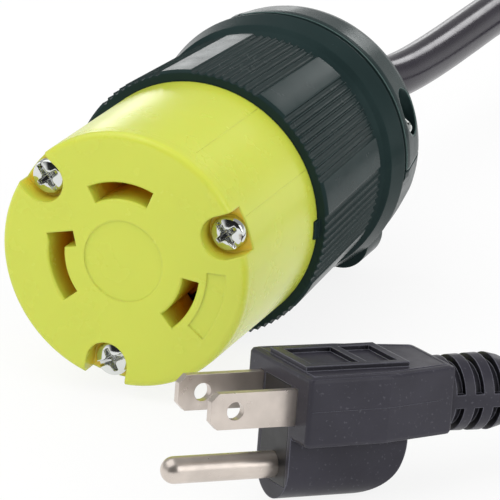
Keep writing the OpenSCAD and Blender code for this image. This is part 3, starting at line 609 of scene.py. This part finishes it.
# The seam's paler vinyl is a painted highlight along it.
seam_highlight_vinyl = plain("vinyl_seam_highlight", (0.34, 0.34, 0.38), 0.35)
parting = [parting_line(1, BLOCK_HALF + 0.01, 12), parting_line(-1, BLOCK_HALF, 1)]
beads("plug_parting_line", parting, 0.045, seam_highlight_vinyl, plug_up)
lip = block_outline(1.35, BLOCK_H / 2 - 0.02)
beads("plug_top_lip", [run(lip + lip[:1], 10)], 0.14, vinyl, plug_up)


# --- Floor and light ------------------------------------------------------------------------------

def panel(name, location, aim, size, watts):
    """A soft rectangular lamp that looks at a place."""
    light = bpy.data.lights.new(name, "AREA")
    light.shape = "RECTANGLE"
    light.size, light.size_y = size
    light.energy = watts
    lamp = bpy.data.objects.new(name, light)
    lamp.location = location
    lamp.rotation_euler = (Vector(aim) - Vector(location)).to_track_quat("-Z", "Y").to_euler()
    scene.collection.objects.link(lamp)


# A key lamp from above, a fill from the right, a small one behind, and one that streaks the cord.
panel("key", (-0.35, -0.24, 0.84), (0, 0, 0.03), (1.2, 0.9), 3.7)
panel("fill", (0.95, -0.28, 0.42), (0.02, 0, 0.03), (0.8, 0.6), 2.3)
panel("back", (-0.45, 0.88, 0.17), (0, 0, 0.03), (0.25, 0.2), 0.3)
panel("streak", (0.029, 0.374, 0.153), (0.003, 0.105, 0.024), (0.07, 0.06), 0.075)


def add_node(tree, kind, inputs=(), **values):
    """Adds a node; its inputs are sockets to link or plain values."""
    node = tree.nodes.new(kind)
    for key, value in values.items():
        setattr(node, key, value)
    for slot, value in inputs:
        if isinstance(value, bpy.types.NodeSocket):
            tree.links.new(value, node.inputs[slot])
        else:
            node.inputs[slot].default_value = value
    return node


def maths(tree, operation, a, b):
    """The result of one operation on two sockets or values."""
    return add_node(tree, "ShaderNodeMath", ((0, a), (1, b)), operation=operation).outputs[0]


def background_rays(tree):
    """Two sockets: 1 for rays straight from the camera, and 1 for these and mirrored or refracted ones."""
    rays = add_node(tree, "ShaderNodeLightPath").outputs
    seen = maths(tree, "MAXIMUM", rays["Is Camera Ray"], rays["Is Glossy Ray"])
    return rays["Is Camera Ray"], maths(tree, "MAXIMUM", seen, rays["Is Transmission Ray"])


def smooth_ramp(tree, source, low, high, from_value, to_value):
    """Eases from one value to another while the source goes from low to high."""
    inputs = (("Value", source), ("From Min", low), ("From Max", high),
              ("To Min", from_value), ("To Max", to_value))
    node = add_node(tree, "ShaderNodeMapRange", inputs, interpolation_type="SMOOTHSTEP")
    return node.outputs["Result"]


# The world lights the object evenly. The camera sees it white; metal and gloss see a white horizon
# with a greyer ceiling, and the dark of the room behind the camera.
LIGHT_LEVEL = 0.80
CEILING_LEVEL = 0.35
ROOM_LEVEL = 0.03
TOWARD_CAMERA = (0.331, -0.897, 0.29)

world = bpy.data.worlds.new("studio")
world.use_nodes = True
scene.world = world
tree = world.node_tree
background = tree.nodes["Background"]
background.inputs["Color"].default_value = (1, 1, 1, 1)
straight, seen = background_rays(tree)
ray = add_node(tree, "ShaderNodeTexCoord").outputs["Generated"]
height = add_node(tree, "ShaderNodeSeparateXYZ", ((0, ray),)).outputs["Z"]
facing = add_node(tree, "ShaderNodeVectorMath", ((0, ray), (1, TOWARD_CAMERA)), operation="DOT_PRODUCT")
ceiling = smooth_ramp(tree, height, 0.03, 0.28, 1.0, CEILING_LEVEL)
room = smooth_ramp(tree, facing.outputs["Value"], 0.62, 0.74, 1.0, ROOM_LEVEL)
mirrored = maths(tree, "MULTIPLY", ceiling, room)
shown = maths(tree, "MAXIMUM", mirrored, straight)
level = add_node(tree, "ShaderNodeMix", (("Factor", seen), ("A", LIGHT_LEVEL), ("B", shown)),
                 data_type="FLOAT")
tree.links.new(level.outputs["Result"], background.inputs["Strength"])

# The floor shows almost white and keeps the object's shadow in the rest.
FLOOR_HALF = 3.0
FLOOR_WHITE = 0.86

corners = [(x * FLOOR_HALF, y * FLOOR_HALF, 0) for x, y in ((-1, -1), (1, -1), (1, 1), (-1, 1))]
floor_mesh = bpy.data.meshes.new("floor")
floor_mesh.from_pydata(corners, [], [(0, 1, 2, 3)])
floor = bpy.data.objects.new("floor", floor_mesh)
floor.location.z = -0.1 * MM
scene.collection.objects.link(floor)
pale = bpy.data.materials.new("pale_floor")
pale.use_nodes = True
tree = pale.node_tree
paper = tree.nodes["Principled BSDF"]
paper.inputs["Base Color"].default_value = (0.93, 0.93, 0.93, 1)
paper.inputs["Roughness"].default_value = 0.8
paper.inputs["Specular IOR Level"].default_value = 0.0
white = add_node(tree, "ShaderNodeEmission", (("Color", (1, 1, 1, 1)), ("Strength", 1.0)))
white_share = maths(tree, "MULTIPLY", background_rays(tree)[1], FLOOR_WHITE)
blend = add_node(tree, "ShaderNodeMixShader",
                 ((0, white_share), (1, paper.outputs[0]), (2, white.outputs[0])))
tree.links.new(blend.outputs[0], tree.nodes["Material Output"].inputs["Surface"])
floor_mesh.materials.append(pale)

scene.view_settings.view_transform = "Standard"
